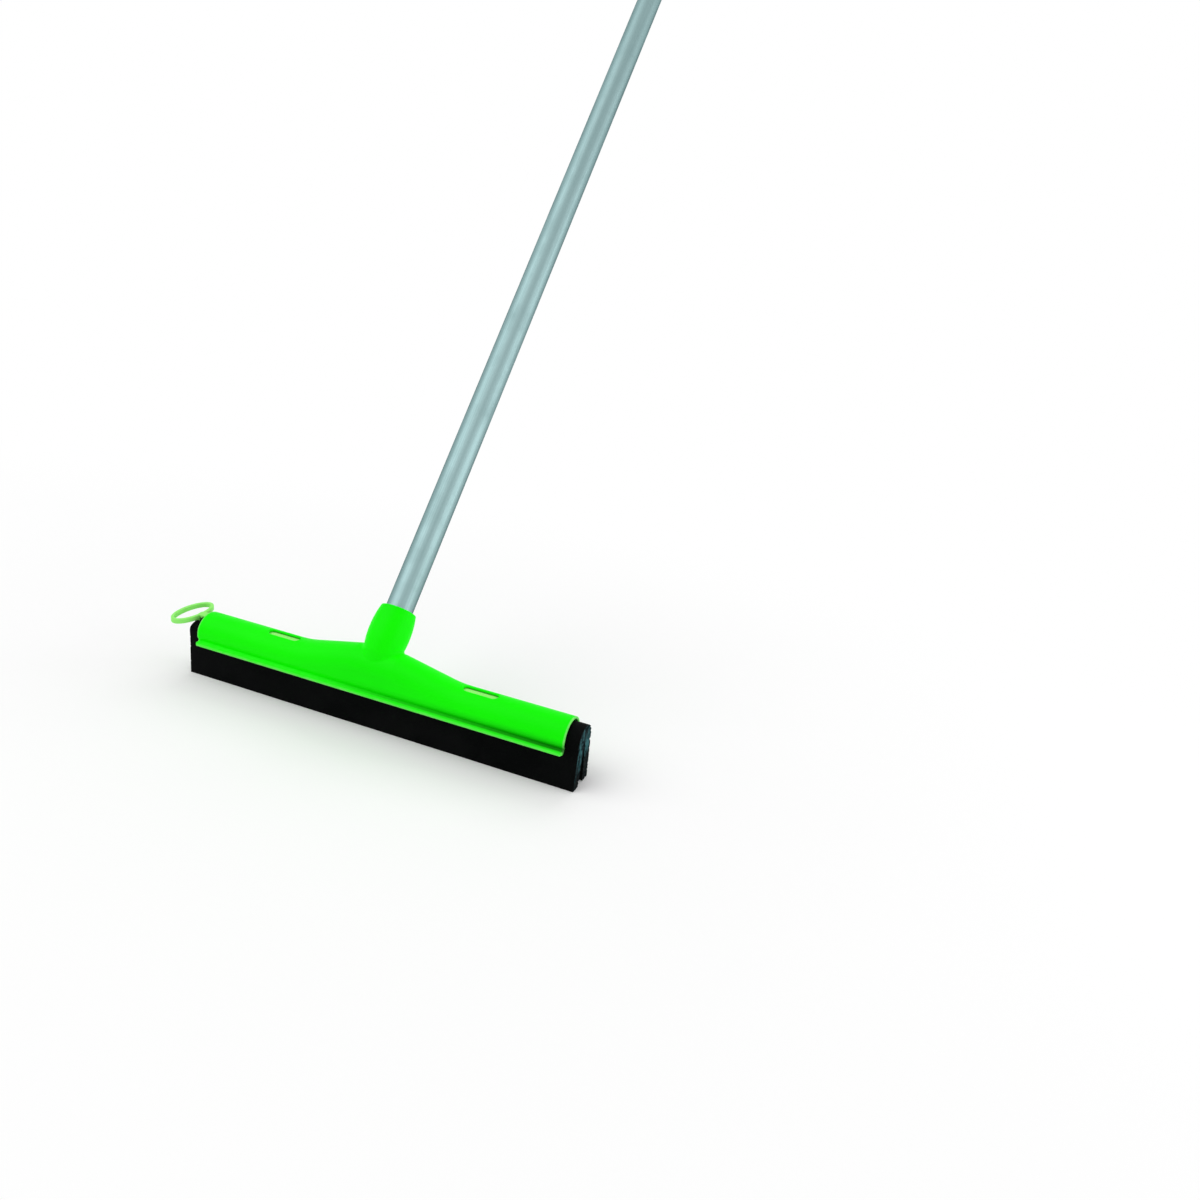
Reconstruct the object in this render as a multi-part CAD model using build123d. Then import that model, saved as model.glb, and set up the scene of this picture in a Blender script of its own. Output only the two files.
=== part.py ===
"""Floor squeegee: a channelled head, a slide-in cassette with two rubber blades, and a screw-in handle."""
import os
from math import cos, radians, sin

from build123d import *

# Millimetres. X runs along the head, Y points back to the user, Z is up, and the blades stand on Z = 0.

# Head frame: a round arch that draws in to a crease above a beaded lip along each lower edge
FRAME_LENGTH = 376.0
ARCH_RADIUS = 17.5
ARCH_Z = 42.5
WALL = 2.2
BEAD_RADIUS = 1.5
BEAD_Z = 35.3
LIP_REACH = 3.0
SIDE_ROUND = 5.5
CREASE_ROUND = 1.3
CREASE_ANGLE = 38.0
LIP_CORNER = 5.0
LIP_MARGIN = 0.6
EDGE_ROUND = 0.6

# Inside of the channel: a ridge along each wall pinches the waist of the blades
CHANNEL_HALF = ARCH_RADIUS - WALL
PINCH_HALF = 13.2
PINCH_LOW_Z = 37.4
PINCH_HIGH_Z = 38.6
PINCH_END_Z = 40.6
MOUTH_HALF = 17.0
CHANNEL_FLOOR_Z = 30.0

# Hump that carries the handle socket
HUMP_FOOT_X = 79.0
HUMP_TOP_X = 22.0
HUMP_RISE = 12.0
HUMP_BLEND = 9.0
NECK_BASE_Z = 47.0
NECK_BASE_HALF_X = 21.0
NECK_BASE_HALF_Y = 16.8

# Windows in the crown of the frame, over the rail
WINDOW_X = 101.5
WINDOW_LENGTH = 33.0
WINDOW_WIDTH = 8.0
WINDOW_ROUND = 1.4

# Handle axis, leaning back from the head. Places along it are counted from this point, upwards.
HANDLE_Y = -4.0
HANDLE_Z = 60.0
HANDLE_LEAN = 40.0

# Socket barrel, in places along the handle axis
SOCKET_BASE = 8.0
SOCKET_BASE_RADIUS = 16.1
SOCKET_WAIST = 30.0
SOCKET_WAIST_RADIUS = 18.9
SOCKET_MOUTH = 51.5
SOCKET_MOUTH_RADIUS = 16.4
SOCKET_RIM = 0.8
SOCKET_FILLET = 3.0
SOCKET_SEAT = 34.5
SOCKET_FLOOR = 7.5

# Handle
TUBE_RADIUS = 12.5
TUBE_WALL = 1.2
TUBE_START = 38.0
TUBE_LENGTH = 1150.0
SEAT_GAP = 0.2
TUBE_CLEARANCE = 0.8
PLUG_CLEARANCE = 0.05

# Screw thread of the ferrule and the socket
THREAD_PITCH = 5.0
THREAD_CORE = 9.0
THREAD_CREST = 10.5
THREAD_ROOT_WIDTH = 2.3
THREAD_CREST_WIDTH = 1.2
THREAD_CLEARANCE = 0.4
THREAD_SUNK = 0.3
THREAD_START = 11.0
THREAD_TURNS = 4.0
GROOVE_TURNS = 5.25
GROOVE_EARLY_TURNS = 0.25
FERRULE_TIP = 9.5
FERRULE_PLUG = 32.0
FERRULE_BORE = 6.0

# End cap with its hanging eye
CAP_PLUG = 22.0
CAP_COLLAR = 6.0
CAP_SHOULDER = 8.0
EYE_HALF_THICKNESS = 4.0
EYE_RADIUS = 11.0
EYE_HOLE_RADIUS = 5.0
EYE_RISE = 18.0
EYE_EDGE = 1.0

# Blade cassette
BLADE_LENGTH = 400.0
BLADE_GAP = 0.4
BLADE_FOOT_HALF = 15.6
BLADE_SHOULDER_HALF = 13.8
BLADE_SPREAD_HALF = 5.2
BLADE_SEAM_HALF = 0.2
BLADE_TAPER_Z = 34.4
RAIL_HALF = 4.0
RAIL_LOW_Z = 26.0
RAIL_TOP_Z = 57.4
RAIL_CROWN = 0.6
RAIL_PLATE = 2.4
RAIL_FLANGE = 2.4
RAIL_RIB = 2.0
RAIL_RIB_PITCH = 23.0
RAIL_LEFT_X = -199.0
RAIL_RIGHT_X = 185.0

# Oval pull ring at the left end of the rail: an upright band, in a notch of the blades
RING_X = -208.4
RING_HALF_X = 12.3
RING_HALF_Y = 24.5
RING_LIMB = 3.3
RING_HEIGHT = 4.8
RING_TOP_Z = 57.0
RING_EDGE = 0.9
NOTCH_GAP = 0.6


HANDLE = Plane(
    origin=(0, HANDLE_Y, HANDLE_Z),
    x_dir=(1, 0, 0),
    z_dir=(0, sin(radians(HANDLE_LEAN)), cos(radians(HANDLE_LEAN))),
)


def across(x):
    """Plane of a cross-section of the head at x, with Y to the right and Z up."""
    return Plane(origin=(x, 0, 0), x_dir=(0, 1, 0), z_dir=(1, 0, 0))


def mirrored(points):
    """The same points on the other side of the head, in reverse order."""
    return [(-y, z) for y, z in reversed(points)]


def arch(half, z):
    """Round top from the +Y side to the -Y side."""
    return ThreePointArc((half, z), (0, z + half), (-half, z))


def bow(centre, radius, start, end):
    """Start, middle and end of an arc about a centre, between two angles in degrees."""
    angles = [radians(angle) for angle in (start, (start + end) / 2, end)]
    return [(centre[0] + radius * cos(angle), centre[1] + radius * sin(angle)) for angle in angles]


def frame_section(x, rise):
    """Outside of the frame at x, with its round top raised by the hump."""
    bead_y = ARCH_RADIUS + LIP_REACH
    bead_bottom = BEAD_Z - BEAD_RADIUS
    bead_top = BEAD_Z + BEAD_RADIUS
    bead = [(bead_y, bead_bottom), (bead_y + BEAD_RADIUS, BEAD_Z), (bead_y, bead_top)]
    both_rounds = SIDE_ROUND + CREASE_ROUND
    crease_y = ARCH_RADIUS - SIDE_ROUND + both_rounds * cos(radians(CREASE_ANGLE))
    crease_z = bead_top + CREASE_ROUND
    side_z = crease_z + both_rounds * sin(radians(CREASE_ANGLE))
    lip = [(bead_y, bead_top), (crease_y, bead_top)]
    crease = bow((crease_y, crease_z), CREASE_ROUND, 270, 180 - CREASE_ANGLE)
    shoulder = bow((ARCH_RADIUS - SIDE_ROUND, side_z), SIDE_ROUND, -CREASE_ANGLE, 0)
    side = [(ARCH_RADIUS, side_z), (ARCH_RADIUS, ARCH_Z + rise)]
    edges = [
        Line((-bead_y, bead_bottom), (bead_y, bead_bottom)),
        ThreePointArc(*bead),
        Line(*lip),
        ThreePointArc(*crease),
        ThreePointArc(*shoulder),
        Line(*side),
        arch(ARCH_RADIUS, ARCH_Z + rise),
        Line(*mirrored(side)),
        ThreePointArc(*mirrored(shoulder)),
        ThreePointArc(*mirrored(crease)),
        Line(*mirrored(lip)),
        ThreePointArc(*mirrored(bead)),
    ]
    return across(x) * make_face(edges)


def hump_stations():
    """Places along the head, each with the rise of the hump there: straight ramps with a soft foot."""
    slope = HUMP_RISE / (HUMP_FOOT_X - HUMP_TOP_X)
    right = [(HUMP_TOP_X, HUMP_RISE)]
    for share in (1, 1 / 3, -1 / 3, -1):
        inside = share * HUMP_BLEND
        right.append((HUMP_FOOT_X - inside, slope * (HUMP_BLEND + inside) ** 2 / (4 * HUMP_BLEND)))
    right.append((FRAME_LENGTH / 2 + LIP_MARGIN, 0))
    left = [(-x, rise) for x, rise in reversed(right)]
    return left + right


def channel():
    """Hollow that the cassette slides in, open below and at both ends."""
    wall = [
        (MOUTH_HALF, CHANNEL_FLOOR_Z),
        (MOUTH_HALF, BEAD_Z - BEAD_RADIUS),
        (PINCH_HALF, PINCH_LOW_Z),
        (PINCH_HALF, PINCH_HIGH_Z),
        (CHANNEL_HALF, PINCH_END_Z),
        (CHANNEL_HALF, ARCH_Z),
    ]
    edges = [
        Polyline(*wall),
        arch(CHANNEL_HALF, ARCH_Z),
        Polyline(*mirrored(wall)),
        Line(mirrored(wall)[-1], wall[0]),
    ]
    return extrude(across(-FRAME_LENGTH) * make_face(edges), 2 * FRAME_LENGTH)


def turned(points):
    """Solid of revolution about the handle axis from (radius, place) points joined by straight lines."""
    return revolve(Plane.XZ * make_face(Polyline(*points, close=True)), Axis.Z)


def round_bar(radius, start, end):
    """Round bar along the handle axis, before it is leaned."""
    return Pos(0, 0, start) * Cylinder(radius, end - start, align=(Align.CENTER, Align.CENTER, Align.MIN))


def thread(clearance, turns, early_turns):
    """Right-handed trapezoidal ridge, or with clearance the groove for it, which starts earlier."""
    root = THREAD_CORE - clearance - THREAD_SUNK
    crest = THREAD_CREST + clearance
    half_root = THREAD_ROOT_WIDTH / 2 + clearance
    half_crest = THREAD_CREST_WIDTH / 2 + clearance
    helix = Helix(THREAD_PITCH, THREAD_PITCH * turns, THREAD_CORE)
    flank = [(root, -half_root), (crest, -half_crest), (crest, half_crest), (root, half_root)]
    profile = Plane.XZ * make_face(Polyline(*flank, close=True))
    start = THREAD_START - THREAD_PITCH * early_turns
    return Pos(0, 0, start) * Rot(0, 0, -360 * early_turns) * sweep(profile, path=helix, is_frenet=True)


def socket_barrel():
    """Barrel of the socket with its rounded rim."""
    rim_z = SOCKET_MOUTH - SOCKET_RIM
    bend = SOCKET_RIM * (1 - sin(radians(45)))
    edges = [
        Line((0, SOCKET_BASE), (SOCKET_BASE_RADIUS, SOCKET_BASE)),
        ThreePointArc(
            (SOCKET_BASE_RADIUS, SOCKET_BASE),
            (SOCKET_WAIST_RADIUS, SOCKET_WAIST),
            (SOCKET_MOUTH_RADIUS, rim_z),
        ),
        ThreePointArc(
            (SOCKET_MOUTH_RADIUS, rim_z),
            (SOCKET_MOUTH_RADIUS - bend, SOCKET_MOUTH - bend),
            (SOCKET_MOUTH_RADIUS - SOCKET_RIM, SOCKET_MOUTH),
        ),
        Line((SOCKET_MOUTH_RADIUS - SOCKET_RIM, SOCKET_MOUTH), (0, SOCKET_MOUTH)),
        Line((0, SOCKET_MOUTH), (0, SOCKET_BASE)),
    ]
    return HANDLE * revolve(Plane.XZ * make_face(edges), Axis.Z)


def socket_neck():
    """Blend from the hump's footprint up to the leaning barrel."""
    foot = Plane.XY.offset(NECK_BASE_Z) * Ellipse(NECK_BASE_HALF_X, NECK_BASE_HALF_Y)
    top = HANDLE.offset(SOCKET_BASE) * Circle(SOCKET_BASE_RADIUS)
    return loft([foot, top])


def socket_thread():
    """Threaded hole in the bottom of the socket."""
    hole = round_bar(THREAD_CORE + THREAD_CLEARANCE, SOCKET_FLOOR, SOCKET_SEAT + WALL)
    return HANDLE * (hole + thread(THREAD_CLEARANCE, GROOVE_TURNS, GROOVE_EARLY_TURNS))


def socket_bore():
    """Plain bore above the thread, for the tube's end."""
    return HANDLE * round_bar(TUBE_RADIUS + TUBE_CLEARANCE, SOCKET_SEAT, SOCKET_MOUTH + WALL)


def head_frame():
    body = loft([frame_section(x, rise) for x, rise in hump_stations()], ruled=True)
    lip_half = ARCH_RADIUS + LIP_REACH + BEAD_RADIUS + LIP_MARGIN
    plan = extrude(RectangleRounded(FRAME_LENGTH, 2 * lip_half, LIP_CORNER), ARCH_Z + 2 * ARCH_RADIUS)
    body = (body & plan) + socket_neck() + socket_barrel()
    seam = body.edges().filter_by(GeomType.BSPLINE)
    seam = seam.filter_by_position(Axis.Z, ARCH_Z + HUMP_RISE, HANDLE_Z + SOCKET_MOUTH)
    body = fillet(seam, SOCKET_FILLET)
    body -= channel()
    body -= socket_thread()
    body -= socket_bore()
    slot = extrude(Plane.XY.offset(ARCH_Z) * SlotOverall(WINDOW_LENGTH, WINDOW_WIDTH), 2 * ARCH_RADIUS)
    for x in (-WINDOW_X, WINDOW_X):
        body -= Pos(x, 0, 0) * slot
        crown_z = ARCH_Z + ARCH_RADIUS
        rim = body.edges().filter_by_position(Axis.Z, crown_z - WALL / 2, crown_z + WALL / 2)
        rim = rim.filter_by_position(Axis.X, x - WINDOW_LENGTH / 2, x + WINDOW_LENGTH / 2)
        rim = rim.filter_by(lambda edge: edge.length < WINDOW_LENGTH)
        body = fillet(rim, WINDOW_ROUND)
    end_x = FRAME_LENGTH / 2 - LIP_MARGIN
    ends = body.faces().filter_by(Axis.X).filter_by(lambda face: abs(face.center().X) > end_x)
    return fillet(ends.edges(), EDGE_ROUND)


def leaf(side, waist, length):
    """Length of leaf from the left end, on side -1 (front) or 1 (rear), before it is cut for the rail."""
    half = BLADE_SHOULDER_HALF
    seam = BLADE_SEAM_HALF
    top_z = ARCH_Z + (half**2 - seam**2) ** 0.5
    bend = half * sin(radians(45))
    outside = [
        (BLADE_FOOT_HALF, 0),
        (half, BLADE_TAPER_Z),
        (waist, PINCH_LOW_Z - BLADE_GAP),
        (waist, PINCH_HIGH_Z + BLADE_GAP),
        (half, PINCH_END_Z + BLADE_GAP),
        (half, ARCH_Z),
    ]
    dome = [(half, ARCH_Z), (bend, ARCH_Z + bend), (seam, top_z)]
    inside = [(seam, top_z), (seam, ARCH_Z), (BLADE_SPREAD_HALF, 0), (BLADE_FOOT_HALF, 0)]
    edges = [
        Polyline(*[(side * y, z) for y, z in outside]),
        ThreePointArc(*[(side * y, z) for y, z in dome]),
        Polyline(*[(side * y, z) for y, z in inside]),
    ]
    return extrude(across(-BLADE_LENGTH / 2) * make_face(edges), length)


def blade(side):
    """One rubber leaf, with a waist where the frame pinches it and its full width where it stays outside."""
    outside_length = (BLADE_LENGTH - FRAME_LENGTH) / 2 - BLADE_GAP
    body = leaf(side, PINCH_HALF - BLADE_GAP, BLADE_LENGTH)
    body += leaf(side, BLADE_SHOULDER_HALF, outside_length)
    rail_low = (-BLADE_LENGTH, -RAIL_HALF, RAIL_LOW_Z)
    rail_high = (RAIL_RIGHT_X + BLADE_GAP, RAIL_HALF, RAIL_TOP_Z + RING_HEIGHT)
    notch_low = (-BLADE_LENGTH, -BLADE_LENGTH, RING_TOP_Z - RING_HEIGHT - NOTCH_GAP)
    notch_high = (RING_X + RING_HALF_X + NOTCH_GAP, BLADE_LENGTH, RING_TOP_Z + RING_HEIGHT)
    return body - block(rail_low, rail_high) - block(notch_low, notch_high)


def block(low, high):
    """Box between two corners."""
    size = [b - a for a, b in zip(low, high)]
    return Pos(*low) * Box(*size, align=(Align.MIN, Align.MIN, Align.MIN))


def pull_ring():
    """Oval band with rounded edges."""
    outer = Ellipse(RING_HALF_X, RING_HALF_Y)
    inner = Ellipse(RING_HALF_X - RING_LIMB, RING_HALF_Y - RING_LIMB)
    ring = extrude(outer - inner, RING_HEIGHT)
    return Pos(RING_X, 0, RING_TOP_Z - RING_HEIGHT) * fillet(ring.edges(), RING_EDGE)


def cassette_rail():
    """Ribbed strip between the leaves, crowned to follow the frame, with the pull ring at its left end."""
    left = RAIL_LEFT_X
    right = RAIL_RIGHT_X
    edge_z = RAIL_TOP_Z - RAIL_CROWN
    flange_z = edge_z - RAIL_FLANGE
    rail = block((left, -RAIL_PLATE / 2, RAIL_LOW_Z), (right, RAIL_PLATE / 2, edge_z))
    rail += block((left, -RAIL_HALF, RAIL_LOW_Z), (right, RAIL_HALF, RAIL_LOW_Z + RAIL_FLANGE))
    top_flange = [
        Polyline((-RAIL_HALF, edge_z), (-RAIL_HALF, flange_z), (RAIL_HALF, flange_z), (RAIL_HALF, edge_z)),
        ThreePointArc((RAIL_HALF, edge_z), (0, RAIL_TOP_Z), (-RAIL_HALF, edge_z)),
    ]
    rail += extrude(across(left) * make_face(top_flange), right - left)
    ribs = int((right - left - RAIL_RIB) // RAIL_RIB_PITCH) + 1
    for i in range(ribs):
        x = left + i * RAIL_RIB_PITCH
        rail += block((x, -RAIL_HALF, RAIL_LOW_Z), (x + RAIL_RIB, RAIL_HALF, edge_z))
    return rail + pull_ring()


def handle_tube():
    end = TUBE_START + TUBE_LENGTH
    tube = round_bar(TUBE_RADIUS, TUBE_START, end) - round_bar(TUBE_RADIUS - TUBE_WALL, TUBE_START, end)
    return HANDLE * tube


def threaded_ferrule():
    """Screw end of the handle: a plug in the tube, a collar under it and the threaded shank."""
    shoulder = SOCKET_SEAT + SEAT_GAP
    plug_radius = TUBE_RADIUS - TUBE_WALL - PLUG_CLEARANCE
    body = turned([
        (FERRULE_BORE, FERRULE_TIP),
        (THREAD_CORE, FERRULE_TIP),
        (THREAD_CORE, shoulder),
        (TUBE_RADIUS, shoulder),
        (TUBE_RADIUS, TUBE_START),
        (plug_radius, TUBE_START),
        (plug_radius, TUBE_START + FERRULE_PLUG),
        (FERRULE_BORE, TUBE_START + FERRULE_PLUG),
    ])
    return HANDLE * (body + thread(0, THREAD_TURNS, 0))


def end_cap():
    """Plug and collar that close the tube, with a flat eye across the top."""
    top = TUBE_START + TUBE_LENGTH
    plug_radius = TUBE_RADIUS - TUBE_WALL - PLUG_CLEARANCE
    body = turned([
        (0, top - CAP_PLUG),
        (plug_radius, top - CAP_PLUG),
        (plug_radius, top),
        (TUBE_RADIUS, top),
        (TUBE_RADIUS, top + CAP_COLLAR),
        (EYE_RADIUS, top + CAP_SHOULDER),
        (0, top + CAP_SHOULDER),
    ])
    eye_centre = top + EYE_RISE
    eye_plane = Plane(origin=(-EYE_HALF_THICKNESS, 0, 0), x_dir=(0, 1, 0), z_dir=(1, 0, 0))
    tongue = Pos(0, eye_centre) * Circle(EYE_RADIUS)
    tongue += Pos(0, (top + eye_centre) / 2) * Rectangle(2 * EYE_RADIUS, eye_centre - top)
    tongue -= Pos(0, eye_centre) * Circle(EYE_HOLE_RADIUS)
    eye = extrude(eye_plane * tongue, 2 * EYE_HALF_THICKNESS)
    eye = fillet(eye.faces().filter_by(Axis.X).edges(), EYE_EDGE)
    return HANDLE * (body + eye)


PIECES = {
    "head_frame": head_frame(),
    "cassette_rail": cassette_rail(),
    "front_blade": blade(-1),
    "rear_blade": blade(1),
    "handle_tube": handle_tube(),
    "threaded_ferrule": threaded_ferrule(),
    "end_cap": end_cap(),
}

os.makedirs("parts", exist_ok=True)
for node, shape in PIECES.items():
    export_step(shape, f"parts/{node}.step")
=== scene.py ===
from math import acos, cos, radians, sin, sqrt

import bmesh
import bpy
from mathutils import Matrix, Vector


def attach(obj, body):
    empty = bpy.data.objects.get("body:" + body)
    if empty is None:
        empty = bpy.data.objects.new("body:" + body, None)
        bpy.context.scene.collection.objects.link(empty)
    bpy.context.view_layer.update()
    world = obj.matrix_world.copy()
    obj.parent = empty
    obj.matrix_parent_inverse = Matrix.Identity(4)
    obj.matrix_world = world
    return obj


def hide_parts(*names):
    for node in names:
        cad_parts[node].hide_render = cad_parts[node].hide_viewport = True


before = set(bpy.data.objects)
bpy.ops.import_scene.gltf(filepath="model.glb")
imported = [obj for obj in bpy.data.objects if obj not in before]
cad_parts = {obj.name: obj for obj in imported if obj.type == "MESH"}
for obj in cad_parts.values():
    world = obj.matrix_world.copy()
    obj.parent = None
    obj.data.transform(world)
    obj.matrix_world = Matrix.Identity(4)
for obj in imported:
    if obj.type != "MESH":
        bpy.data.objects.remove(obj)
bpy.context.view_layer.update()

MM = 0.001

# Rubber leaves, in millimetres, from the part's own values. Widths are measured from the head's middle plane
# and heights from the floor.
LEAF_LENGTH = 400.0
LEAF_FOOT = 15.6
LEAF_SHOULDER = 13.8
LEAF_WAIST = 12.8
WAIST_HEIGHTS = (34.4, 37.0, 39.0, 41.0)
LEAF_SPREAD = 5.2
LEAF_SEAM = 0.2
LEAF_CREST = 0.9
LEAF_ROUND = 0.7
DOME_Z = 42.5
RAIL_SIDE = 4.02
RAIL_LOW = 25.9
RAIL_STEP = 0.3
UNDER_RAIL = 2.2
NOTCH_FOOT = 46.0
NOTCH_SQUEEZE = 0.5

# Grid of a leaf's section: row height in millimetres, first rows as shares of the foot's rounding, rows in
# the dome, columns, and stations along the head
LEAF_ROW = 0.5
ROUND_SHARES = (0.0, 0.07, 0.25, 0.55)
DOME_ROWS = 26
LEAF_COLUMNS = 24
LEAF_STATIONS = 161

# Other shapes of a leaf's section, and where along the head, in millimetres, each starts and is reached
SECTION_SHAPES = [
    ("full", -188.0, -190.0),
    ("low", -192.6, -194.9),
    ("closed", 185.3, 187.4),
]

# Free part of a leaf, in millimetres: how high its waves and its uneven foot reach, and the length of that
# unevenness
FREE_HEIGHT = 24.0
FOOT_HEIGHT = 6.0
FOOT_UNEVEN = 35.0

# Cut ends: how squarely a face looks along the head to count as one, the smallest and largest pit as shares
# of a cell, and the depth in millimetres within which a point belongs to the end
CUT_FACING = 0.9
PIT_SHARES = (0.2, 0.62)
END_DEPTH = 0.05

# Leaf mesh: millimetres within which points are joined, and degrees past which an edge is shaded as sharp
MERGE_DISTANCE = 0.01
CRISP_ANGLE = 50.0

# Frame, in millimetres: the arch of its crown, the bottom of the crease above its lip, and the middles and
# half lengths of its windows
ARCH_RADIUS = 17.5
CREASE_Y = 17.4
CREASE_Z = 37.9
WINDOW_X = 101.5
WINDOW_REACH = 18.0

# Painted shade, in millimetres: how far from the crease it is darkest and ends, where along the head it
# starts and is darkest, and how far below the crown it starts and is darkest in the windows. Outwards, over
# the lip, distances from the crease count by the factor. Then how steeply it fades, and the most there is of
# it.
CREASE_SHADE = (0.6, 9.0)
SHADE_ALONG = (-60.0, 190.0)
WINDOW_SHADE = (0.7, 2.0)
LIP_FACTOR = 4.0
SHADE_FALL = 1.4
CREASE_MOST = 0.8
WINDOW_MOST = 0.35

# Patterns of the moulded plastic, in millimetres. The real grain is about 0.2 mm. It is drawn at 0.9 mm, so
# that it shows. Paler edges, partly rubbed wear and partly painted highlight, fade in over the band at their
# height and at the ends.
FLOW_CLOUD = 42.0
SCRATCH = 7.0
GRAIN = 0.9
WEAR_AND_HIGHLIGHT_BAND = 3.0
WEAR_AND_HIGHLIGHT_END = 1.0

# Patterns of the aluminium tube, in millimetres: width and length of die lines and of streaks, and marks
DIE_LINE = (0.9, 250.0)
STREAK = (6.0, 420.0)
HANDLING_MARK = 30.0

# Patterns of the rubber's skin, in millimetres. Pinholes are about 0.4 mm in the real skin. They are drawn
# at 1.1 mm, so that they show.
BLOOM = 28.0
DUST_SPECK = 3.0
DUST_HEIGHT = 4.0
PINHOLE = 1.1

# Patterns of the rubber's cut face, in millimetres. The smallest cells, about 0.3 mm, are drawn at 0.7 mm,
# so that they show. The darker foot fades out between two heights, which hold at the head's middle plane and
# rise to the rear by the slope. The dark rim fades out between two depths from the skin.
KNIFE_STROKE = 3.0
FINE_CELL = 0.7
FOOT_DARK_HEIGHTS = (18.0, 27.0)
FOOT_DARK_SLOPE = 0.75
RIM_DEPTHS = (0.5, 2.0)

# Handle axis: a point on it in metres, and its lean from upright in degrees
HANDLE_POINT = (0.0, -0.004, 0.060)
HANDLE_LEAN = 40.0

# Camera of the photograph: metres, degrees and millimetres
CAMERA_PLACE = (0.41695, -0.64723, 0.44462)
CAMERA_TURN = (67.910, -6.256, 21.184)
CAMERA_LENS = 28.216
CAMERA_SENSOR = 36.0

# Soft boxes: name, place, aim and size in metres, and watts
SOFT_BOXES = [
    ("key_box", (-1.5, -1.2, 2.6), (0.0, 0.0, 0.2), (3.0, 3.0), 47.0),
    ("side_box", (2.2, 0.55, 0.75), (0.0, 0.1, 0.2), (2.4, 1.4), 20.0),
    ("back_box", (0.2, 2.2, 2.3), (0.0, 0.2, 0.3), (1.6, 1.6), 12.0),
]

# White of the room and the backdrop, and its strength as light. It is seen at full strength.
WHITE = (1.0, 1.0, 1.0, 1.0)
ROOM_LIGHT = 0.55

# Studio floor, in metres: its half side, and the distances from the head between which it fades to white.
# Distances along the head count for about half. Its clouds are counted per metre.
FLOOR_REACH = 12.0
FLOOR_FADE = (0.12, 0.7)
FLOOR_ALONG = 0.55
FLOOR_CLOUDS = 1.5


def colour(hex_value):
    """Linear colour with full alpha from an sRGB hex value."""
    parts = [int(hex_value[i:i + 2], 16) / 255 for i in (1, 3, 5)]
    return tuple(c / 12.92 if c <= 0.04045 else ((c + 0.055) / 1.055) ** 2.4 for c in parts) + (1.0,)


def per_metre(size):
    """Texture scale for a pattern of this size in millimetres."""
    return 1000 / size


def put(tree, kind, inputs=None, **settings):
    """Adds one node with its own settings. An input takes a value, an output to link or a list of outputs.
    Numbered inputs: Map Range has its value at 0, the range it comes from at 1 and 2 and the range it goes
    to at 3 and 4. Mix has its share at 0 and its two colours at 6 and 7."""
    made = tree.nodes.new(kind)
    for name, value in settings.items():
        setattr(made, name, value)
    for key, value in (inputs or {}).items():
        for source in value if isinstance(value, list) else [value]:
            if isinstance(source, bpy.types.NodeSocket):
                tree.links.new(source, made.inputs[key])
            else:
                made.inputs[key].default_value = source
    return made


def new_finish(name):
    """A new material, its node tree and its shader."""
    made = bpy.data.materials.new(name)
    made.use_nodes = True
    return made, made.node_tree, made.node_tree.nodes["Principled BSDF"]


def dress(tree, shader, tint, gloss, relief):
    """Links a finish's colour, roughness and relief to its shader."""
    for socket, value in (("Base Color", tint), ("Roughness", gloss), ("Normal", relief)):
        tree.links.new(value, shader.inputs[socket])


def painted_shade_mask(tree, x, y, z, aside):
    """How much painted shade lies on the frame, from 0 to 1: in the crease above its lip, more towards the
    right end of the head, and on the walls of the windows, which are sunk below the crown."""
    # Painted shade in the crease above the lip, darker towards the right end
    out = put(tree, "ShaderNodeMath", {0: y}, operation="ABSOLUTE").outputs[0]
    out = put(tree, "ShaderNodeMath", {0: out, 1: CREASE_Y * MM}, operation="SUBTRACT").outputs[0]
    out = put(tree, "ShaderNodeMath", {0: out, 1: 0.0}, operation="MAXIMUM").outputs[0]
    out = put(tree, "ShaderNodeMath", {0: out, 1: LIP_FACTOR}, operation="MULTIPLY").outputs[0]
    up = put(tree, "ShaderNodeMath", {0: z, 1: CREASE_Z * MM}, operation="SUBTRACT").outputs[0]
    away = put(tree, "ShaderNodeCombineXYZ", {"Y": out, "Z": up}).outputs[0]
    away = put(tree, "ShaderNodeVectorMath", {0: away}, operation="LENGTH").outputs["Value"]
    near, far = CREASE_SHADE
    deep = put(tree, "ShaderNodeMapRange", {0: away, 1: near * MM, 2: far * MM, 3: 1.0, 4: 0.0}).outputs[0]
    deep = put(tree, "ShaderNodeMath", {0: deep, 1: SHADE_FALL}, operation="POWER").outputs[0]
    start, end = SHADE_ALONG
    right = put(tree, "ShaderNodeMapRange",
                {0: x, 1: start * MM, 2: end * MM, 3: 0.0, 4: CREASE_MOST}).outputs[0]
    deep = put(tree, "ShaderNodeMath", {0: deep, 1: right}, operation="MULTIPLY").outputs[0]

    # Painted shade on the walls of the windows, below the crown
    rise = put(tree, "ShaderNodeMath", {0: z, 1: DOME_Z * MM}, operation="SUBTRACT").outputs[0]
    sunk = put(tree, "ShaderNodeCombineXYZ", {"Y": y, "Z": rise}).outputs[0]
    sunk = put(tree, "ShaderNodeVectorMath", {0: sunk}, operation="LENGTH").outputs["Value"]
    upper, lower = [(ARCH_RADIUS - depth) * MM for depth in WINDOW_SHADE]
    sunk = put(tree, "ShaderNodeMapRange", {0: sunk, 1: upper, 2: lower, 3: 0.0, 4: WINDOW_MOST}).outputs[0]
    window = put(tree, "ShaderNodeMath", {0: aside, 1: WINDOW_X * MM, 2: WINDOW_REACH * MM},
                 operation="COMPARE").outputs[0]
    sunk = put(tree, "ShaderNodeMath", {0: sunk, 1: window}, operation="MULTIPLY").outputs[0]
    return put(tree, "ShaderNodeMath", {0: deep, 1: sunk}, operation="MAXIMUM").outputs[0]


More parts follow.
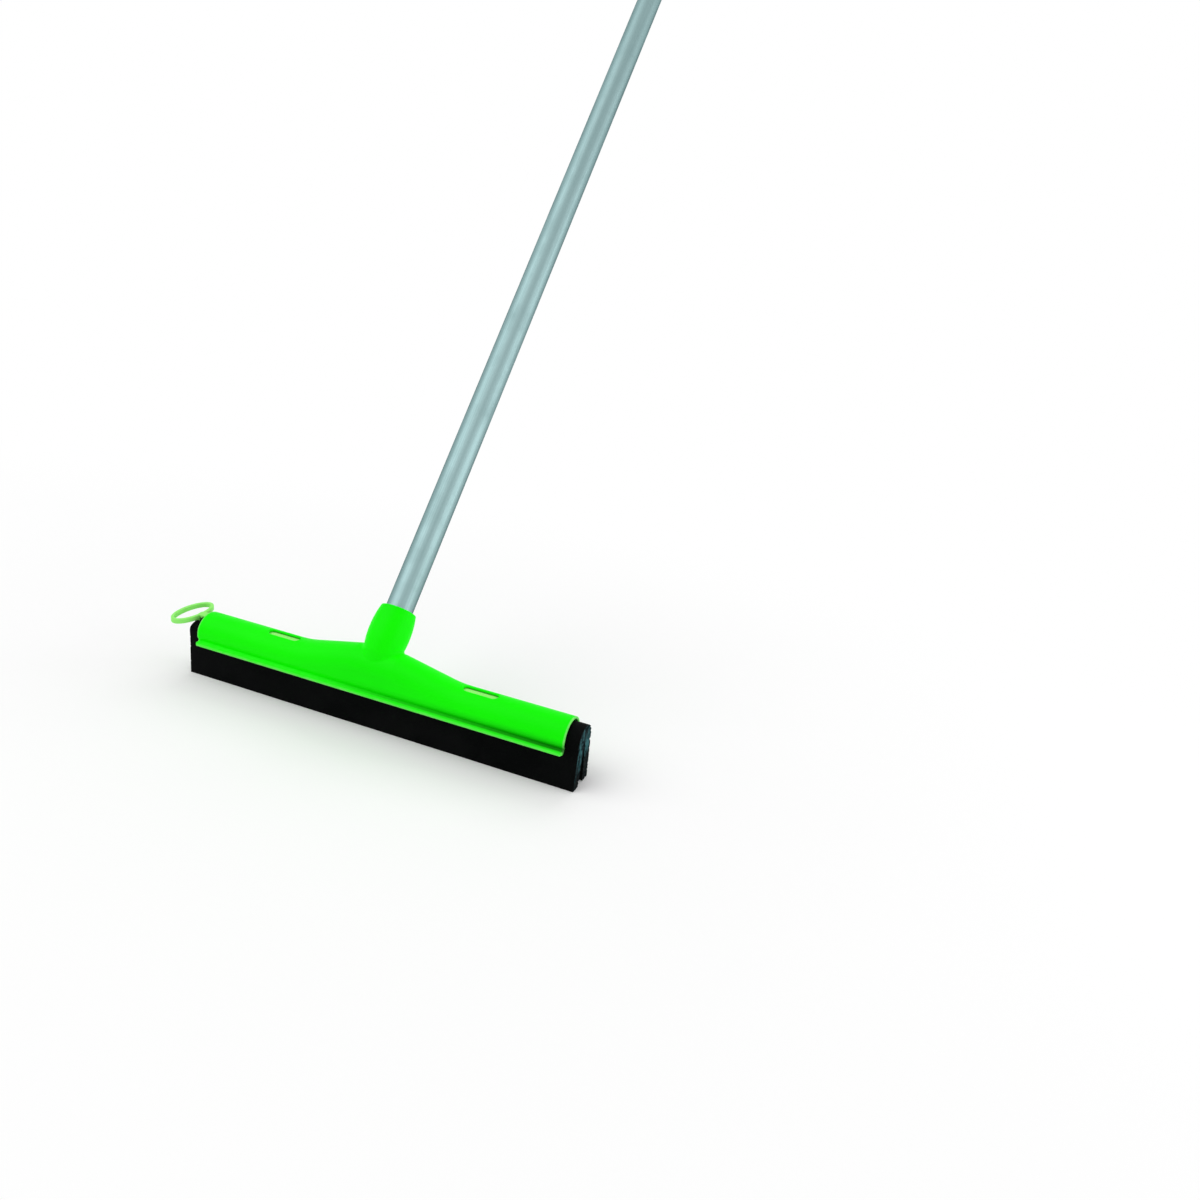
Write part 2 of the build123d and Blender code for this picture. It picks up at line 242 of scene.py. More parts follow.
def moulded_plastic(name, body, shade, pale, wear_and_highlight_z, wear_and_highlight_x, painted_shade_colour=None):
    """Injection moulded polypropylene or nylon: a waxy, even colour with faint clouds where the melt flowed
    and a fine spark-eroded grain. It is paler below one height and past one place along the head, in
    millimetres, partly from rubbed wear and partly as a painted highlight on the edges, and it may have
    painted shade."""
    made, tree, shader = new_finish(name)
    place = put(tree, "ShaderNodeTexCoord").outputs["Object"]
    x, y, z = put(tree, "ShaderNodeSeparateXYZ", {0: place}).outputs
    aside = put(tree, "ShaderNodeMath", {0: x}, operation="ABSOLUTE").outputs[0]

    # The melt flowed along the head, so the clouds are about three times as long as they are wide.
    flow = put(tree, "ShaderNodeMapping", {"Vector": place, "Scale": (0.35, 1.0, 1.0)}).outputs[0]
    flow = put(tree, "ShaderNodeTexNoise",
               {"Vector": flow, "Scale": per_metre(FLOW_CLOUD), "Detail": 3.0}).outputs[0]
    flow = put(tree, "ShaderNodeMapRange", {0: flow, 1: 0.3, 2: 0.7}).outputs[0]
    tint = put(tree, "ShaderNodeMix", {0: flow, 6: colour(shade), 7: colour(body)},
               data_type="RGBA").outputs[2]

    # Paler below one height and past one place along the head: partly rubbed wear, partly a painted
    # highlight on the lip and the end edges
    low = put(tree, "ShaderNodeMapRange",
              {0: z, 1: (wear_and_highlight_z - WEAR_AND_HIGHLIGHT_BAND) * MM, 2: wear_and_highlight_z * MM, 3: 1.0, 4: 0.0}).outputs[0]
    far = put(tree, "ShaderNodeMapRange",
              {0: aside, 1: wear_and_highlight_x * MM, 2: (wear_and_highlight_x + WEAR_AND_HIGHLIGHT_END) * MM}).outputs[0]
    edge = put(tree, "ShaderNodeMath", {0: low, 1: far}, operation="MAXIMUM").outputs[0]
    # Its scratches run along the head.
    scratch = put(tree, "ShaderNodeMapping", {"Vector": place, "Scale": (1.0, 2.5, 2.5)}).outputs[0]
    scratch = put(tree, "ShaderNodeTexNoise", {"Vector": scratch, "Scale": per_metre(SCRATCH), "Detail": 5.0,
                                               "Roughness": 0.65}).outputs[0]
    scratch = put(tree, "ShaderNodeMapRange", {0: scratch, 1: 0.35, 2: 0.65, 3: 0.4, 4: 1.0}).outputs[0]
    wear_and_highlight = put(tree, "ShaderNodeMath", {0: edge, 1: scratch}, operation="MULTIPLY").outputs[0]
    tint = put(tree, "ShaderNodeMix", {0: wear_and_highlight, 6: tint, 7: colour(pale)}, data_type="RGBA").outputs[2]

    # Dark green painted shade in the crease and the windows
    if painted_shade_colour:
        painted_shade_share = painted_shade_mask(tree, x, y, z, aside)
        tint = put(tree, "ShaderNodeMix", {0: painted_shade_share, 6: tint, 7: colour(painted_shade_colour)}, data_type="RGBA").outputs[2]

    grain = put(tree, "ShaderNodeTexNoise",
                {"Vector": place, "Scale": per_metre(GRAIN), "Detail": 2.0}).outputs[0]
    gloss = put(tree, "ShaderNodeMapRange", {0: grain, 1: 0.3, 2: 0.7, 3: 0.40, 4: 0.52}).outputs[0]
    relief = put(tree, "ShaderNodeBump",
                 {"Strength": 0.30, "Distance": 0.1 * MM, "Height": grain}).outputs[0]
    dress(tree, shader, tint, gloss, relief)
    shader.inputs["IOR"].default_value = 1.49
    shader.inputs["Specular IOR Level"].default_value = 0.06
    return made


def drawn_aluminium():
    """Mill-finish drawn aluminium tube: a cool satin grey with fine die lines and broader streaks that run
    along the tube, and a few dull handling marks."""
    made, tree, shader = new_finish("drawn_aluminium")
    place = put(tree, "ShaderNodeTexCoord").outputs["Object"]
    moved = put(tree, "ShaderNodeVectorMath", {0: place, 1: HANDLE_POINT}, operation="SUBTRACT").outputs[0]
    lean = (radians(HANDLE_LEAN), 0.0, 0.0)
    upright = put(tree, "ShaderNodeMapping", {"Vector": moved, "Rotation": lean}).outputs[0]
    drawn = []
    for (width, length), detail, roughness in ((DIE_LINE, 3.0, 0.6), (STREAK, 2.0, 0.5)):
        scale = (per_metre(width), per_metre(width), per_metre(length))
        along = put(tree, "ShaderNodeMapping", {"Vector": upright, "Scale": scale}).outputs[0]
        noise = put(tree, "ShaderNodeTexNoise",
                    {"Vector": along, "Scale": 1.0, "Detail": detail, "Roughness": roughness})
        drawn.append(noise.outputs[0])
    line, streak = drawn
    streak = put(tree, "ShaderNodeMapRange", {0: streak, 1: 0.35, 2: 0.65}).outputs[0]
    tint = put(tree, "ShaderNodeMix", {0: streak, 6: colour("#8AA4A5"), 7: colour("#94AEAF")},
               data_type="RGBA").outputs[2]
    dull = put(tree, "ShaderNodeTexNoise",
               {"Vector": upright, "Scale": per_metre(HANDLING_MARK), "Detail": 4.0}).outputs[0]
    dull = put(tree, "ShaderNodeMapRange", {0: dull, 1: 0.45, 2: 0.75, 3: 0.0, 4: 0.12}).outputs[0]
    gloss = put(tree, "ShaderNodeMapRange", {0: line, 1: 0.3, 2: 0.7, 3: 0.47, 4: 0.59}).outputs[0]
    gloss = put(tree, "ShaderNodeMath", {0: gloss, 1: dull}, operation="ADD").outputs[0]
    relief = put(tree, "ShaderNodeBump", {"Strength": 0.10, "Distance": 0.1 * MM, "Height": line}).outputs[0]
    dress(tree, shader, tint, gloss, relief)
    shader.inputs["Metallic"].default_value = 1.0
    # A dull oxide film darkens the rim, where the surface turns away.
    shader.inputs["Specular Tint"].default_value = colour("#202828")
    return made


def cellular_rubber_skin():
    """Skin of expanded cellular rubber: matt and nearly black, with closed pinholes, a faint grey bloom and
    a little dust in the pinholes and on the edge that touches the floor."""
    made, tree, shader = new_finish("cellular_rubber_skin")
    place = put(tree, "ShaderNodeTexCoord").outputs["Object"]
    bloom = put(tree, "ShaderNodeTexNoise",
                {"Vector": place, "Scale": per_metre(BLOOM), "Detail": 4.0}).outputs[0]
    bloom = put(tree, "ShaderNodeMapRange", {0: bloom, 1: 0.4, 2: 0.75}).outputs[0]
    tint = put(tree, "ShaderNodeMix", {0: bloom, 6: colour("#010202"), 7: colour("#0B0C0C")},
               data_type="RGBA").outputs[2]
    height = put(tree, "ShaderNodeSeparateXYZ", {0: place}).outputs["Z"]
    low = put(tree, "ShaderNodeMapRange",
              {0: height, 1: 0.0, 2: DUST_HEIGHT * MM, 3: 1.0, 4: 0.0}).outputs[0]
    speck = put(tree, "ShaderNodeTexNoise", {"Vector": place, "Scale": per_metre(DUST_SPECK), "Detail": 6.0,
                                             "Roughness": 0.7}).outputs[0]
    speck = put(tree, "ShaderNodeMapRange", {0: speck, 1: 0.5, 2: 0.75, 3: 0.0, 4: 0.5}).outputs[0]
    dust = put(tree, "ShaderNodeMath", {0: low, 1: speck}, operation="MULTIPLY").outputs[0]
    tint = put(tree, "ShaderNodeMix", {0: dust, 6: tint, 7: colour("#262726")}, data_type="RGBA").outputs[2]
    pinhole = put(tree, "ShaderNodeTexVoronoi", {"Vector": place, "Scale": per_metre(PINHOLE)})
    pinhole = put(tree, "ShaderNodeMapRange", {0: pinhole.outputs["Distance"], 1: 0.0, 2: 0.4}).outputs[0]
    dusty = put(tree, "ShaderNodeMapRange", {0: pinhole, 3: 0.6, 4: 0.0}).outputs[0]
    tint = put(tree, "ShaderNodeMix", {0: dusty, 6: tint, 7: colour("#161818")}, data_type="RGBA").outputs[2]
    gloss = put(tree, "ShaderNodeMapRange", {0: bloom, 3: 0.62, 4: 0.78}).outputs[0]
    relief = put(tree, "ShaderNodeBump",
                 {"Strength": 0.35, "Distance": 0.12 * MM, "Height": pinhole}).outputs[0]
    dress(tree, shader, tint, gloss, relief)
    shader.inputs["Specular IOR Level"].default_value = 0.03
    return made


def cellular_rubber_cut():
    """Cut face of expanded cellular rubber: the open cells catch light, so it is greyer than the skin, with
    a cool cast and streaks from the knife. Each of the open cells has painted shade inside, the skin shows
    as a dark rim, and the foot is darker, reaching higher up on the rear leaf."""
    made, tree, shader = new_finish("cellular_rubber_cut")
    place = put(tree, "ShaderNodeTexCoord").outputs["Object"]
    pit = put(tree, "ShaderNodeAttribute", attribute_name="pit").outputs["Fac"]
    from_skin = put(tree, "ShaderNodeAttribute", attribute_name="from_skin").outputs["Fac"]
    # The streaks run down, and are five times as long as they are wide.
    stroke = put(tree, "ShaderNodeMapping", {"Vector": place, "Scale": (1.0, 1.0, 0.2)}).outputs[0]
    stroke = put(tree, "ShaderNodeTexNoise",
                 {"Vector": stroke, "Scale": per_metre(KNIFE_STROKE), "Detail": 4.0}).outputs[0]
    stroke = put(tree, "ShaderNodeMapRange", {0: stroke, 1: 0.38, 2: 0.66}).outputs[0]
    tint = put(tree, "ShaderNodeMix", {0: stroke, 6: colour("#04171B"), 7: colour("#37666A")},
               data_type="RGBA").outputs[2]
    # Painted shade inside each open cell, darkest at its middle
    cell = put(tree, "ShaderNodeMapRange", {0: pit, 1: 0.1, 2: 0.7}).outputs[0]
    _, back, height = put(tree, "ShaderNodeSeparateXYZ", {0: place}).outputs
    # Darker towards the foot, reaching higher towards the rear leaf
    foot_level = put(tree, "ShaderNodeMath", {0: back, 1: -FOOT_DARK_SLOPE, 2: height},
               operation="MULTIPLY_ADD").outputs[0]
    low, high = FOOT_DARK_HEIGHTS
    dark_foot = put(tree, "ShaderNodeMapRange", {0: foot_level, 1: low * MM, 2: high * MM, 3: 0.97, 4: 0.0}).outputs[0]
    near, far = RIM_DEPTHS
    rim = put(tree, "ShaderNodeMapRange",
              {0: from_skin, 1: near * MM, 2: far * MM, 3: 0.9, 4: 0.0}).outputs[0]
    dark = put(tree, "ShaderNodeMath", {0: dark_foot, 1: rim}, operation="MAXIMUM").outputs[0]
    dark = put(tree, "ShaderNodeMath", {0: dark, 1: cell}, operation="MAXIMUM").outputs[0]
    tint = put(tree, "ShaderNodeMix", {0: dark, 6: tint, 7: colour("#05090A")}, data_type="RGBA").outputs[2]
    fine = put(tree, "ShaderNodeTexVoronoi",
               {"Vector": place, "Scale": per_metre(FINE_CELL)}).outputs["Distance"]
    gloss = put(tree, "ShaderNodeMapRange", {0: stroke, 3: 0.7, 4: 0.9}).outputs[0]
    relief = put(tree, "ShaderNodeBump", {"Strength": 0.5, "Distance": 0.2 * MM, "Height": fine}).outputs[0]
    dress(tree, shader, tint, gloss, relief)
    shader.inputs["Specular IOR Level"].default_value = 0.04
    return made


def between(table, z):
    """Half width at height z, on straight lines between the (height, half width) pairs of the table."""
    for (low, first), (high, last) in zip(table, table[1:]):
        if z <= high:
            return first + (last - first) * (z - low) / (high - low)


def leaf_rows(waist, inside):
    """Inner and outer ends, as (half width, height) pairs, of a leaf section's rows from foot to crest."""
    outside = [(0.0, LEAF_FOOT)]
    outside += list(zip(WAIST_HEIGHTS, (LEAF_SHOULDER, waist, waist, LEAF_SHOULDER)))
    outside += [(DOME_Z, LEAF_SHOULDER)]
    heights = [LEAF_ROUND * share for share in ROUND_SHARES]
    count = round((DOME_Z - LEAF_ROUND) / LEAF_ROW)
    heights += [LEAF_ROUND + (DOME_Z - LEAF_ROUND) * i / count for i in range(count + 1)]
    rows = []
    for z in heights:
        drawn_in = LEAF_ROUND - sqrt(LEAF_ROUND ** 2 - max(LEAF_ROUND - z, 0.0) ** 2)
        rows.append(((between(inside, z) + drawn_in, z), (between(outside, z) - drawn_in, z)))
    last = inside[-1][1]
    rise = sqrt(LEAF_SHOULDER ** 2 - last ** 2)
    reach = acos((last + LEAF_CREST) / LEAF_SHOULDER)
    for i in range(1, DOME_ROWS + 1):
        share = i / DOME_ROWS
        outer = (LEAF_SHOULDER * cos(share * reach), DOME_Z + LEAF_SHOULDER * sin(share * reach))
        rows.append(((last, DOME_Z + share * rise), outer))
    return rows


def leaf_section(side):
    """Grid of the leaf's cross-section in the plane x = 0, as it is inside the frame. Its points also carry
    the steps to the other shapes of the section: full where it stands out of the frame on the left, low
    under the pull ring, and closed past the rail on the right. They carry their distance from the skin as
    well."""
    under_rail = (RAIL_LOW - RAIL_STEP, UNDER_RAIL)
    beside_rail = [(0.0, LEAF_SPREAD), under_rail, (RAIL_LOW, RAIL_SIDE), (DOME_Z, RAIL_SIDE)]
    past_rail = [(0.0, LEAF_SPREAD), (DOME_Z, LEAF_SEAM)]
    base = leaf_rows(LEAF_WAIST, beside_rail)
    full = leaf_rows(LEAF_SHOULDER, beside_rail)
    closed = leaf_rows(LEAF_WAIST, past_rail)
    section = bmesh.new()
    steps = {shape: section.verts.layers.float_vector.new(shape) for shape, _, _ in SECTION_SHAPES}
    from_skin = section.verts.layers.float.new("from_skin")

    def place(ends, i):
        (near, low), (far, high) = ends
        share = i / LEAF_COLUMNS
        return Vector((0.0, side * (near + (far - near) * share), low + (high - low) * share)) * MM

    grid = []
    for kept, filled, shut in zip(base, full, closed):
        grid.append([])
        for i in range(LEAF_COLUMNS + 1):
            point = section.verts.new(place(kept, i))
            above = max(point.co.z - NOTCH_FOOT * MM, 0.0)
            point[steps["full"]] = place(filled, i) - point.co
            point[steps["low"]] = Vector((0.0, 0.0, -above * (1 - NOTCH_SQUEEZE)))
            point[steps["closed"]] = place(shut, i) - point.co
            point[from_skin] = (place(shut, LEAF_COLUMNS) - place(shut, i)).length
            grid[-1].append(point)
    for lower, upper in zip(grid, grid[1:]):
        for i in range(LEAF_COLUMNS):
            section.faces.new((lower[i], lower[i + 1], upper[i + 1], upper[i]))
    mesh = bpy.data.meshes.new("leaf_section")
    section.to_mesh(mesh)
    section.free()
    return mesh


LEAF_INPUTS = [
    ("Geometry", "NodeSocketGeometry", None),
    ("Length", "NodeSocketFloat", LEAF_LENGTH * MM),
    ("Stations", "NodeSocketInt", LEAF_STATIONS),
    ("Wave Height", "NodeSocketFloat", 0.45 * MM),
    ("Wave Length", "NodeSocketFloat", 60.0 * MM),
    ("Foot Lift", "NodeSocketFloat", 0.12 * MM),
    ("Cell Size", "NodeSocketFloat", 2.2 * MM),
    ("Cell Depth", "NodeSocketFloat", 0.7 * MM),
    ("Skin", "NodeSocketMaterial", None),
    ("Cut", "NodeSocketMaterial", None),
]


def leaf_tree():
    """Geometry Nodes that sweep a leaf's section along the head, step to the other shapes of the section
    near its ends, wave its free edge and open the cells of its cut ends."""
    tree = bpy.data.node_groups.new("rubber_leaf", "GeometryNodeTree")
    for name, kind, _ in LEAF_INPUTS:
        tree.interface.new_socket(name, in_out="INPUT", socket_type=kind)
    tree.interface.new_socket("Geometry", in_out="OUTPUT", socket_type="NodeSocketGeometry")
    given = put(tree, "NodeGroupInput").outputs
    place = put(tree, "GeometryNodeInputPosition").outputs[0]
    x, y, z = put(tree, "ShaderNodeSeparateXYZ", {0: place}).outputs

    # Side wall: the section's outline, laid flat and swept along a straight line
    faces = put(tree, "GeometryNodeInputMeshEdgeNeighbors").outputs[0]
    rim = put(tree, "FunctionNodeCompare", {2: faces, 3: 1}, data_type="INT", operation="EQUAL").outputs[0]
    outline = put(tree, "GeometryNodeMeshToCurve", {"Mesh": given["Geometry"], "Selection": rim}).outputs[0]
    minus_y = put(tree, "ShaderNodeMath", {0: y, 1: -1.0}, operation="MULTIPLY").outputs[0]
    minus_z = put(tree, "ShaderNodeMath", {0: z, 1: -1.0}, operation="MULTIPLY").outputs[0]
    flat = put(tree, "ShaderNodeCombineXYZ", {"X": minus_y, "Y": minus_z}).outputs[0]
    outline = put(tree, "GeometryNodeSetPosition", {"Geometry": outline, "Position": flat}).outputs[0]
    half = put(tree, "ShaderNodeMath", {0: given["Length"], 1: 0.5}, operation="MULTIPLY").outputs[0]
    minus_half = put(tree, "ShaderNodeMath", {0: given["Length"], 1: -0.5}, operation="MULTIPLY").outputs[0]
    left = put(tree, "ShaderNodeCombineXYZ", {"X": minus_half}).outputs[0]
    right = put(tree, "ShaderNodeCombineXYZ", {"X": half}).outputs[0]
    line = put(tree, "GeometryNodeCurvePrimitiveLine", {"Start": left, "End": right}).outputs[0]
    line = put(tree, "GeometryNodeResampleCurve", {"Curve": line, "Count": given["Stations"]}).outputs[0]
    wall = put(tree, "GeometryNodeCurveToMesh", {"Curve": line, "Profile Curve": outline}).outputs[0]
    wall = put(tree, "GeometryNodeSetMaterial", {"Geometry": wall, "Material": given["Skin"]}).outputs[0]
    pieces = [wall]
    for end in (left, right):
        moved = put(tree, "GeometryNodeSetPosition", {"Geometry": given["Geometry"], "Offset": end})
        pieces.append(moved.outputs[0])
    leaf = put(tree, "GeometryNodeJoinGeometry", {0: pieces}).outputs[0]
    leaf = put(tree, "GeometryNodeMergeByDistance",
               {"Geometry": leaf, "Distance": MERGE_DISTANCE * MM}).outputs[0]

    # Which faces are cut ends
    normal = put(tree, "GeometryNodeInputNormal").outputs[0]
    facing = put(tree, "ShaderNodeSeparateXYZ", {0: normal}).outputs["X"]
    facing = put(tree, "ShaderNodeMath", {0: facing}, operation="ABSOLUTE").outputs[0]
    is_cut = put(tree, "FunctionNodeCompare", {0: facing, 1: CUT_FACING},
                 operation="GREATER_THAN").outputs[0]
    leaf = put(tree, "GeometryNodeStoreNamedAttribute", {"Geometry": leaf, "Name": "cut", "Value": is_cut},
               data_type="BOOLEAN", domain="FACE").outputs[0]

    # Open cells on the cut ends, as round pits of many sizes
    size = put(tree, "ShaderNodeMath", {0: 1.0, 1: given["Cell Size"]}, operation="DIVIDE").outputs[0]
    cells = put(tree, "ShaderNodeTexVoronoi", {"Vector": place, "Scale": size})
    chance = put(tree, "ShaderNodeSeparateXYZ", {0: cells.outputs["Color"]}).outputs["X"]
    smallest, largest = PIT_SHARES
    reach = put(tree, "ShaderNodeMapRange", {0: chance, 3: smallest, 4: largest}).outputs[0]
    from_middle = cells.outputs["Distance"]
    pit = put(tree, "ShaderNodeMath", {0: from_middle, 1: reach}, operation="DIVIDE").outputs[0]
    pit = put(tree, "ShaderNodeMath", {0: pit, 1: 2.0}, operation="POWER").outputs[0]
    pit = put(tree, "ShaderNodeMath", {0: 1.0, 1: pit}, operation="SUBTRACT", use_clamp=True).outputs[0]
    far = put(tree, "ShaderNodeMath", {0: x}, operation="ABSOLUTE").outputs[0]
    near_end = put(tree, "ShaderNodeMath", {0: half, 1: END_DEPTH * MM}, operation="SUBTRACT").outputs[0]
    at_end = put(tree, "ShaderNodeMath", {0: far, 1: near_end}, operation="GREATER_THAN").outputs[0]
    pit = put(tree, "ShaderNodeMath", {0: pit, 1: at_end}, operation="MULTIPLY").outputs[0]
    leaf = put(tree, "GeometryNodeStoreNamedAttribute",
               {"Geometry": leaf, "Name": "pit", "Value": pit}).outputs[0]
    depth = put(tree, "ShaderNodeMath", {0: pit, 1: given["Cell Depth"]}, operation="MULTIPLY").outputs[0]
    end_side = put(tree, "ShaderNodeMath", {0: x}, operation="SIGN").outputs[0]
    shift_x = put(tree, "ShaderNodeMath", {0: depth, 1: end_side}, operation="MULTIPLY").outputs[0]
    shift_x = put(tree, "ShaderNodeMath", {0: shift_x, 1: -1.0}, operation="MULTIPLY").outputs[0]

    # The free edge wanders towards the middle plane, and its foot is not quite straight
    pitch = put(tree, "ShaderNodeMath", {0: 1.0, 1: given["Wave Length"]}, operation="DIVIDE").outputs[0]
    wave = put(tree, "ShaderNodeTexNoise", {"Vector": place, "Scale": pitch, "Detail": 1.0}).outputs[0]
    free = put(tree, "ShaderNodeMapRange", {0: z, 1: FREE_HEIGHT * MM, 2: 0.0}).outputs[0]
    wave = put(tree, "ShaderNodeMath", {0: wave, 1: free}, operation="MULTIPLY").outputs[0]
    wave = put(tree, "ShaderNodeMath", {0: wave, 1: given["Wave Height"]}, operation="MULTIPLY").outputs[0]
    leaf_side = put(tree, "ShaderNodeMath", {0: y}, operation="SIGN").outputs[0]
    shift_y = put(tree, "ShaderNodeMath", {0: wave, 1: leaf_side}, operation="MULTIPLY").outputs[0]
    shift_y = put(tree, "ShaderNodeMath", {0: shift_y, 1: -1.0}, operation="MULTIPLY").outputs[0]
    uneven = put(tree, "ShaderNodeTexNoise",
                 {"Vector": place, "Scale": per_metre(FOOT_UNEVEN), "Detail": 3.0}).outputs[0]
    foot = put(tree, "ShaderNodeMapRange", {0: z, 1: FOOT_HEIGHT * MM, 2: 0.0}).outputs[0]
    uneven = put(tree, "ShaderNodeMath", {0: uneven, 1: foot}, operation="MULTIPLY").outputs[0]
    lift = put(tree, "ShaderNodeMath", {0: uneven, 1: given["Foot Lift"]}, operation="MULTIPLY").outputs[0]

    # All shifts of a point, with the steps to the other shapes of the section
    shift = put(tree, "ShaderNodeCombineXYZ", {"X": shift_x, "Y": shift_y, "Z": lift}).outputs[0]
    for shape, start, end in SECTION_SHAPES:
        share = put(tree, "ShaderNodeMapRange", {0: x, 1: start * MM, 2: end * MM}).outputs[0]
        step = put(tree, "GeometryNodeInputNamedAttribute", {"Name": shape},
                   data_type="FLOAT_VECTOR").outputs[0]
        step = put(tree, "ShaderNodeVectorMath", {0: step, "Scale": share}, operation="SCALE").outputs[0]
        shift = put(tree, "ShaderNodeVectorMath", {0: shift, 1: step}, operation="ADD").outputs[0]
    leaf = put(tree, "GeometryNodeSetPosition", {"Geometry": leaf, "Offset": shift}).outputs[0]

    angle = put(tree, "GeometryNodeInputMeshEdgeAngle").outputs[0]
    crisp = put(tree, "FunctionNodeCompare", {0: angle, 1: radians(CRISP_ANGLE)},
                operation="GREATER_THAN").outputs[0]
    leaf = put(tree, "GeometryNodeSetShadeSmooth",
               {"Geometry": leaf, "Selection": crisp, "Shade Smooth": False}, domain="EDGE").outputs[0]
    leaf = put(tree, "GeometryNodeRealizeInstances", {"Geometry": leaf}).outputs[0]
    cut = put(tree, "GeometryNodeInputNamedAttribute", {"Name": "cut"}, data_type="BOOLEAN").outputs[0]
    leaf = put(tree, "GeometryNodeSetMaterial",
               {"Geometry": leaf, "Selection": cut, "Material": given["Cut"]}).outputs[0]
    put(tree, "NodeGroupOutput", {0: leaf})
    return tree


def rubber_leaf(name, side, node, tree, skin, cut):
    """One finished leaf: a plain mesh from the leaf tree that rides on the cassette in place of its node."""
    section = leaf_section(side)
    section.materials.append(skin)
    piece = bpy.data.objects.new(name, section)
    bpy.context.scene.collection.objects.link(piece)
    maker = piece.modifiers.new("leaf", "NODES")
    maker.node_group = tree
    values = {entry: value for entry, _, value in LEAF_INPUTS if value is not None}
    values.update({"Skin": skin, "Cut": cut})
    for item in tree.interface.items_tree:
        if item.in_out == "INPUT" and item.name in values:
            maker[item.identifier] = values[item.name]
    evaluated = piece.evaluated_get(bpy.context.evaluated_depsgraph_get())
    mesh = bpy.data.meshes.new_from_object(evaluated)
    piece.modifiers.clear()
    piece.data = mesh
    bpy.data.meshes.remove(section)
    work = bmesh.new()
    work.from_mesh(mesh)
    bmesh.ops.recalc_face_normals(work, faces=work.faces)
    work.to_mesh(mesh)
    work.free()
    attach(piece, "cassette")
    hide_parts(node)


def seen_rays(tree):
    """1 for rays that show a surface, straight, by reflection or through glass, and 0 for the others."""
    ray = put(tree, "ShaderNodeLightPath").outputs
    seen = ray["Is Camera Ray"]
    for other in ("Is Glossy Ray", "Is Transmission Ray"):
        seen = put(tree, "ShaderNodeMath", {0: seen, 1: ray[other]}, operation="MAXIMUM").outputs[0]
    return seen


def studio_floor():
    """Pale painted floor that keeps the shadow near the object and fades to the white of the backdrop."""
    made, tree, shader = new_finish("pale_studio_paint")
    place = put(tree, "ShaderNodeTexCoord").outputs["Object"]
    cloud = put(tree, "ShaderNodeTexNoise",
                {"Vector": place, "Scale": FLOOR_CLOUDS, "Detail": 3.0}).outputs[0]
    tint = put(tree, "ShaderNodeMix", {0: cloud, 6: colour("#FBFBFB"), 7: colour("#FFFFFF")},
               data_type="RGBA").outputs[2]
    tree.links.new(tint, shader.inputs["Base Color"])
    shader.inputs["Roughness"].default_value = 0.9
    shader.inputs["Specular IOR Level"].default_value = 0.0
    away = put(tree, "ShaderNodeMapping", {"Vector": place, "Scale": (FLOOR_ALONG, 1.0, 1.0)}).outputs[0]
    away = put(tree, "ShaderNodeVectorMath", {0: away}, operation="LENGTH").outputs["Value"]
    near, far = FLOOR_FADE
    away = put(tree, "ShaderNodeMapRange", {0: away, 1: near, 2: far},
               interpolation_type="SMOOTHSTEP").outputs[0]
    fade = put(tree, "ShaderNodeMath", {0: away, 1: seen_rays(tree)}, operation="MULTIPLY").outputs[0]
    white = put(tree, "ShaderNodeEmission", {"Color": WHITE, "Strength": 1.0}).outputs[0]
    mixed = put(tree, "ShaderNodeMixShader", {0: fade, 1: shader.outputs[0], 2: white}).outputs[0]
    tree.links.new(mixed, tree.nodes["Material Output"].inputs["Surface"])
    mesh = bpy.data.meshes.new("studio_floor")
    corners = [(x * FLOOR_REACH, y * FLOOR_REACH, 0) for x, y in ((-1, -1), (1, -1), (1, 1), (-1, 1))]
    mesh.from_pydata(corners, [], [(0, 1, 2, 3)])
    mesh.materials.append(made)
    floor = bpy.data.objects.new("studio_floor", mesh)
    bpy.context.scene.collection.objects.link(floor)


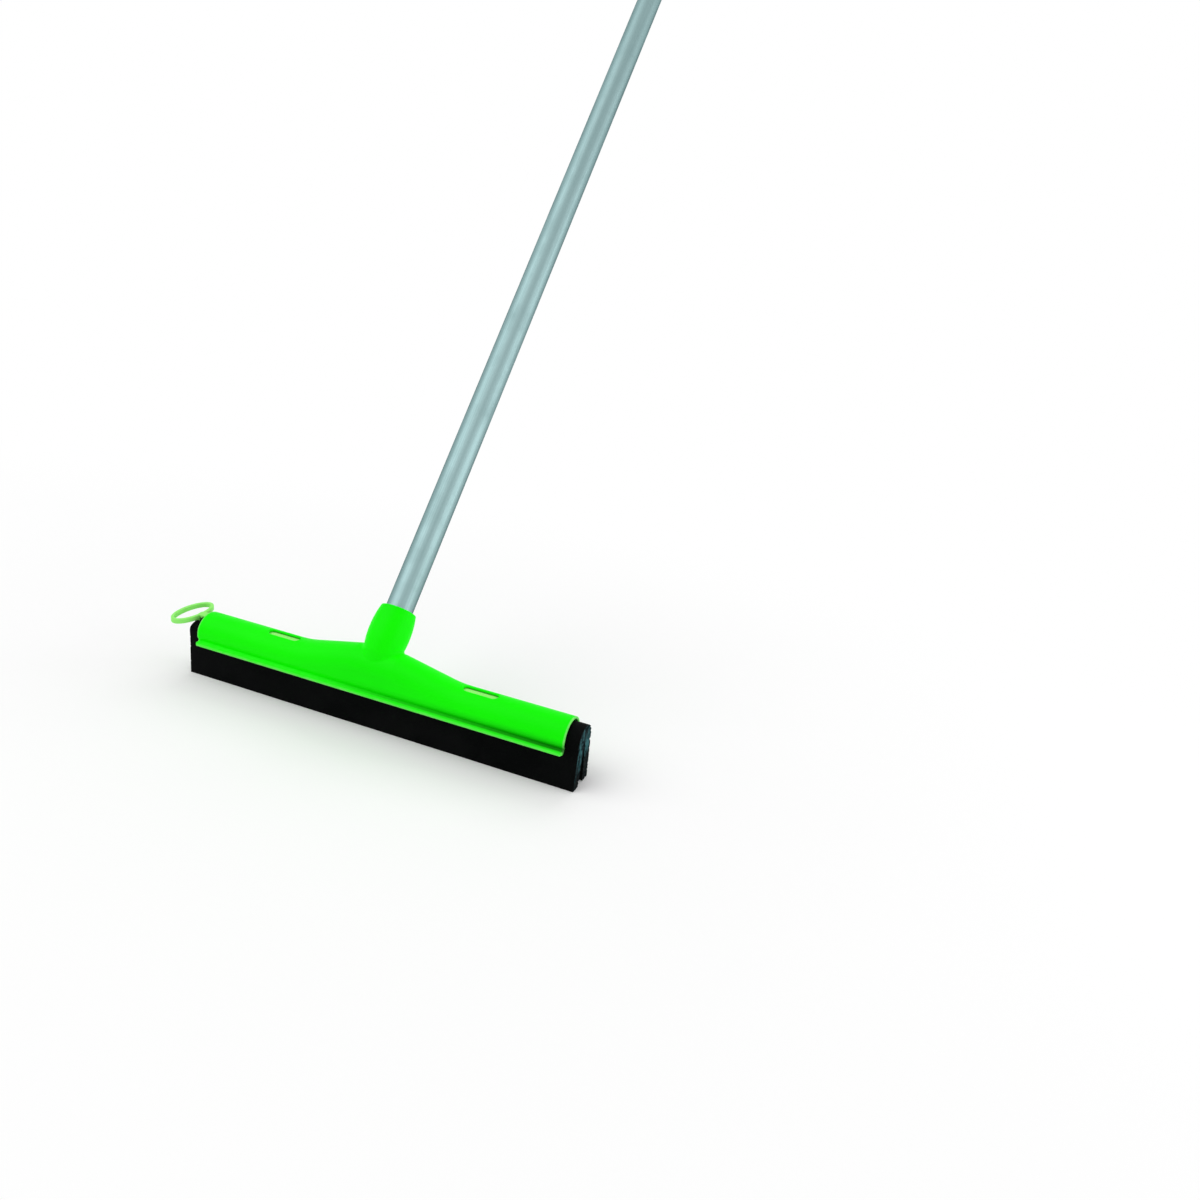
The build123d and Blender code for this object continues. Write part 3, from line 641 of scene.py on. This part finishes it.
def studio_light():
    """Three soft boxes and an even white room."""
    for name, place, aim, (wide, high), power in SOFT_BOXES:
        lamp = bpy.data.lights.new(name, "AREA")
        lamp.shape = "RECTANGLE"
        lamp.size = wide
        lamp.size_y = high
        lamp.energy = power
        holder = bpy.data.objects.new(name, lamp)
        holder.location = place
        holder.rotation_euler = (Vector(aim) - Vector(place)).to_track_quat("-Z", "Y").to_euler()
        bpy.context.scene.collection.objects.link(holder)
    room = bpy.data.worlds.new("white_room")
    room.use_nodes = True
    tree = room.node_tree
    level = put(tree, "ShaderNodeMapRange", {0: seen_rays(tree), 3: ROOM_LIGHT, 4: 1.0}).outputs[0]
    tree.links.new(level, tree.nodes["Background"].inputs["Strength"])
    tree.nodes["Background"].inputs["Color"].default_value = WHITE
    bpy.context.scene.world = room


def camera():
    """The photograph's camera."""
    lens = bpy.data.cameras.new("camera")
    lens.sensor_width = CAMERA_SENSOR
    lens.lens = CAMERA_LENS
    holder = bpy.data.objects.new("camera", lens)
    holder.location = CAMERA_PLACE
    holder.rotation_euler = [radians(turn) for turn in CAMERA_TURN]
    bpy.context.scene.collection.objects.link(holder)
    bpy.context.scene.camera = holder


bpy.context.scene.view_settings.view_transform = "Standard"
camera()
studio_light()
studio_floor()

# The frame's dark green in its crease and windows is painted shade. Its paler lip and ends are partly wear
# and partly painted highlight.
green = moulded_plastic("moulded_green_polypropylene", body="#14FF00", shade="#10F700", pale="#86E676",
                        wear_and_highlight_z=37.2, wear_and_highlight_x=186.4, painted_shade_colour="#003A00")
pale_green = moulded_plastic("moulded_pale_polypropylene", body="#9CF87C", shade="#90EE6E", pale="#BEFAAA",
                             wear_and_highlight_z=28.0, wear_and_highlight_x=221.0)
grey_nylon = moulded_plastic("moulded_grey_nylon", body="#4A4E52", shade="#404448", pale="#5C6064",
                             wear_and_highlight_z=0.0, wear_and_highlight_x=13.0)
finishes = {
    "head_frame": green,
    "cassette_rail": pale_green,
    "handle_tube": drawn_aluminium(),
    "threaded_ferrule": grey_nylon,
    "end_cap": green,
}
for node, finish in finishes.items():
    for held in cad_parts[node].material_slots:
        held.material = finish

skin = cellular_rubber_skin()
cut = cellular_rubber_cut()
sweep = leaf_tree()
rubber_leaf("front_leaf", -1, "front_blade", sweep, skin, cut)
rubber_leaf("rear_leaf", 1, "rear_blade", sweep, skin, cut)
